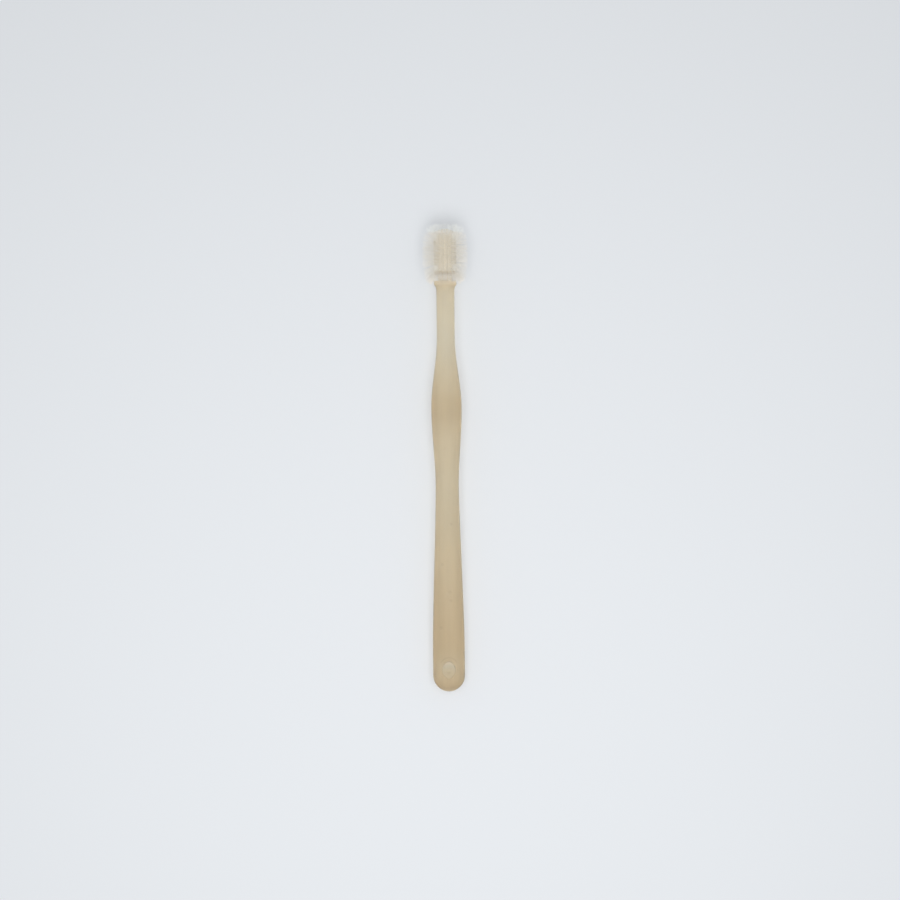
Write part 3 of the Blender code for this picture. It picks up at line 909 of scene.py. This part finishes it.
def filament_leans(number, depth, bunch, chance):
    """How far the filaments of a disc lean, and how far further in they start, from 0 to 1."""
    head = settings()[1]
    stray = OWN_STRAY * uneven(chance, len(depth))
    stray += BUNCH_STRAY * uneven(chance, head.bunches)[bunch]
    lean = disc_lean(number + depth - 0.5, head) + STRAY * head.unevenness * stray
    fan = chance.uniform(0, 1, len(depth))
    inner = np.zeros(len(depth))
    if number == 0:
        lean *= FOOT_FAN[0] + (FOOT_FAN[1] - FOOT_FAN[0]) * fan**FOOT_CROWD
        inner = np.clip((fan - SEAT_FAN) / (1 - SEAT_FAN), 0, 1)
    elif number == LAST_DISC:
        lean *= TIP_FAN[0] + (TIP_FAN[1] - TIP_FAN[0]) * fan
    return np.clip(lean, *np.radians(LEAN_LIMITS)), inner


def filament_skins(stops, across, upright, chance):
    """Vertices and faces of thin tapered skins over the middles of the filaments' sections."""
    count = len(across)
    spin = chance.uniform(0, math.tau, count)
    thickness = settings()[1].filament_diameter / 2 * chance.uniform(0.9, 1.08, count)
    points = []
    for stop, part in zip(stops, TAPER):
        for turn in turns_of(FILAMENT_SIDES):
            phase = spin + turn
            spoke = np.cos(phase)[:, None] * across + np.sin(phase)[:, None] * upright
            points.append(stop + spoke * (thickness * part)[:, None])
    points = np.stack(points, axis=1).reshape(-1, 3)
    last = (len(stops) - 1) * FILAMENT_SIDES
    each = [*band_faces(len(stops), FILAMENT_SIDES), (2, 1, 0), (last, last + 1, last + 2)]
    step = len(stops) * FILAMENT_SIDES
    faces = [tuple(step * n + v for v in face) for n in range(count) for face in each]
    return points.tolist(), faces


def filaments(number):
    """Vertices and faces of a disc's filaments, which start inside its ring and fan out."""
    head, places = settings()[1], Places()
    chance = np.random.default_rng(100 + number)
    fuller = {0: head.foot_fullness, LAST_DISC: head.tip_fullness}.get(number, 1)
    count, wild = round(head.filaments * fuller), head.unevenness
    rim = head.disc_diameter / 2
    turn = (np.arange(count) + chance.uniform(-0.45, 0.45, count)) * math.tau / count
    depth = chance.permutation(count) / count
    spread = head.disc_thickness + head.disc_gap * 0.8
    base = places.disc(number) - head.disc_gap * 0.4 + spread * (0.03 + 0.94 * depth)
    nearest = np.floor(turn * head.bunches / math.tau)
    bunch = nearest.astype(int) % head.bunches
    gathered = nearest + 0.5 + chance.uniform(-0.3, 0.3, head.bunches)[bunch]
    lean, inner = filament_leans(number, depth, bunch, chance)
    sway = uneven(chance, count) * SWAY * wild
    sway += (gathered * math.tau / head.bunches - turn) * (rim + head.filament_length) * head.gather
    shorter = LENGTH_LOSS * wild * chance.power(LOSS_CURVE, count)
    length = head.filament_length - head.root_length - shorter
    outward = np.stack([np.cos(turn), np.zeros(count), np.sin(turn)], axis=1)
    across = np.stack([-np.sin(turn), np.zeros(count), np.cos(turn)], axis=1)
    along = np.tile([0.0, 1.0, 0.0], (count, 1))

    def way(angles):
        return np.cos(angles)[:, None] * outward + np.sin(angles)[:, None] * along

    upright = way(lean + math.pi / 2)
    base = np.where(inner > 0, places.disc(0), base)
    root = outward * (rim - inner * head.inner_reach)[:, None] + along * base[:, None]
    knee = root + way(lean * np.where(inner > 0, 1, 0.5)) * head.root_length
    climb = np.sin(lean) * length
    tips = places.tips - TIP_LOSS * wild * chance.uniform(0, 1, count) ** 2
    tips -= head.shoulder * np.maximum(np.cos(lean), 0) * length / head.filament_length
    room = np.where(climb > 0, tips - knee[:, 1], 1)
    room = np.where(inner > 0, knee[:, 1] - places.seat - SEAT_GAP, room)
    length = length * np.minimum(1, room / np.maximum(np.abs(climb), 1e-6))
    bend = (chance.normal(0, BEND, count) * wild)[:, None] * upright + sway[:, None] * across
    stops = [root - outward * ROOT_DEPTH, knee]
    for part in FREE_SECTIONS:
        stops.append(knee + way(lean) * (length * part)[:, None] + bend * part * part)
    return filament_skins(stops, across, upright, chance)


def cap_mesh():
    """Vertices and faces of the domed cap, with the blind bore over the spigot."""
    handle, head, _ = settings()
    places = Places()
    rim = handle.cap_diameter / 2
    bore = handle.spigot_diameter / 2 + head.bore_clearance * 0.5
    bore_end = places.spigot_end + head.disc_gap
    dome = handle.cap_height - handle.cap_rim
    profile = [(bore_end, 0.0002), (bore_end, bore), (places.cap, bore), (places.cap, rim)]
    for part in np.linspace(1, 0, DOME_SECTIONS)[:-1]:
        profile.append((places.cap + handle.cap_rim + dome * (1 - part**DOME_CURVE), rim * part))
    profile = soft_corners(profile, 0.00012, 3)
    rings = [oval(place, radius, radius, 2.0, SMALL_SIDES) for place, radius in profile]
    return lofted(rings, (0, bore_end, 0), (0, places.cap + handle.cap_height, 0))


def add_table():
    """The pale table, wide enough to pass for a backdrop."""
    corners = [(x * TABLE_REACH, y * TABLE_REACH, 0) for x, y in ((-1, -1), (1, -1), (1, 1), (-1, 1))]
    table = add_mesh("table", corners, [(0, 1, 2, 3)])
    table.location.z = -TABLE_DROP
    table.data.materials.append(table_paper())


def add_lamp():
    """The large soft lamp over the butt's end."""
    stage = settings()[2]
    lamp = add_object("softbox", bpy.data.lights.new("softbox", "AREA"))
    lamp.data.shape = "SQUARE"
    lamp.data.size = stage.lamp_size
    lamp.data.energy = stage.lamp_power
    lamp.location = stage.lamp_place
    lamp.visible_camera = False


def add_camera():
    """The camera straight above the brush, turned so that the head leans to the left."""
    stage = settings()[2]
    camera = add_object("camera", bpy.data.cameras.new("camera"))
    camera.data.lens = stage.lens
    camera.data.sensor_width = 36.0
    camera.data.clip_start = 0.01
    distance = stage.frame_width * stage.lens / camera.data.sensor_width
    right = Vector((math.cos(stage.roll), -math.sin(stage.roll), 0))
    up = Vector((math.sin(stage.roll), math.cos(stage.roll), 0))
    height = sum(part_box("handle"), Vector()).z / 2
    camera.location = right * stage.aim[0] + up * stage.aim[1] + Vector((0, 0, distance + height))
    camera.rotation_euler = (0, 0, -stage.roll)
    bpy.context.scene.camera = camera


class TOOTHBRUSH_OT_handle(bpy.types.Operator):
    """Draw the moulded handle with its gate well, collar, seat and spindle"""

    bl_idname = "toothbrush.handle"
    bl_label = "Handle"

    def execute(self, context):
        resin = material_named(honey_resin)
        piece = add_piece("handle_moulding", *handle_mesh(), [resin], "handle", "honey_plastic")
        cut(piece, *gate_well(context.scene.toothbrush_handle))
        return {"FINISHED"}


class TOOTHBRUSH_OT_bristle_discs(bpy.types.Operator):
    """Draw the stacked discs, each a fused ring with filaments all round"""

    bl_idname = "toothbrush.bristle_discs"
    bl_label = "Bristle Discs"

    def execute(self, context):
        materials = [material_named(fused_nylon), material_named(clear_nylon)]
        for number, node in enumerate(DISC_NAMES):
            ring_points, ring_faces = weld_ring(number)
            points, faces = filaments(number)
            shift = len(ring_points)
            add_piece(
                node.replace("disc", "ring"), ring_points + points,
                ring_faces + [tuple(v + shift for v in face) for face in faces],
                materials, node, "clear_filament", len(ring_faces),
            )
        return {"FINISHED"}


class TOOTHBRUSH_OT_end_cap(bpy.types.Operator):
    """Draw the domed cap that shuts the stack in"""

    bl_idname = "toothbrush.end_cap"
    bl_label = "End Cap"

    def execute(self, context):
        add_piece("domed_cap", *cap_mesh(), [material_named(honey_resin)], "end_cap", "honey_plastic")
        return {"FINISHED"}


class TOOTHBRUSH_OT_stage(bpy.types.Operator):
    """Set up the pale table, the soft light and the camera straight above"""

    bl_idname = "toothbrush.stage"
    bl_label = "Stage"

    def execute(self, context):
        add_table()
        add_lamp()
        add_camera()
        context.scene.world = studio_world()
        context.scene.view_settings.view_transform = "Standard"
        return {"FINISHED"}


class VIEW3D_PT_toothbrush(bpy.types.Panel):
    """Settings and pieces of the toothbrush"""

    bl_label = "Toothbrush"
    bl_space_type = "VIEW_3D"
    bl_region_type = "UI"
    bl_category = "Toothbrush"

    def draw(self, context):
        for operator, group in STEPS:
            self.layout.operator(operator)
            if group is None:
                continue
            held = getattr(context.scene, group)
            for name in held.__annotations__:
                self.layout.prop(held, name)


GROUPS = {
    "toothbrush_handle": HandleSettings,
    "toothbrush_head": HeadSettings,
    "toothbrush_stage": StageSettings,
}
STEPS = (
    ("toothbrush.handle", "toothbrush_handle"),
    ("toothbrush.bristle_discs", "toothbrush_head"),
    ("toothbrush.end_cap", None),
    ("toothbrush.stage", "toothbrush_stage"),
)
CLASSES = (
    HandleSettings, HeadSettings, StageSettings,
    TOOTHBRUSH_OT_handle, TOOTHBRUSH_OT_bristle_discs, TOOTHBRUSH_OT_end_cap, TOOTHBRUSH_OT_stage,
    VIEW3D_PT_toothbrush,
)


def register():
    """Adds the classes and the settings to Blender."""
    for item in CLASSES:
        bpy.utils.register_class(item)
    for name, group in GROUPS.items():
        setattr(bpy.types.Scene, name, PointerProperty(type=group))


def unregister():
    """Takes the settings and the classes out again."""
    for name in GROUPS:
        delattr(bpy.types.Scene, name)
    for item in reversed(CLASSES):
        bpy.utils.unregister_class(item)


def main():
    """Draws the whole toothbrush."""
    register()
    bpy.ops.toothbrush.handle()
    bpy.ops.toothbrush.bristle_discs()
    bpy.ops.toothbrush.end_cap()
    bpy.ops.toothbrush.stage()


if __name__ == "__main__":
    main()
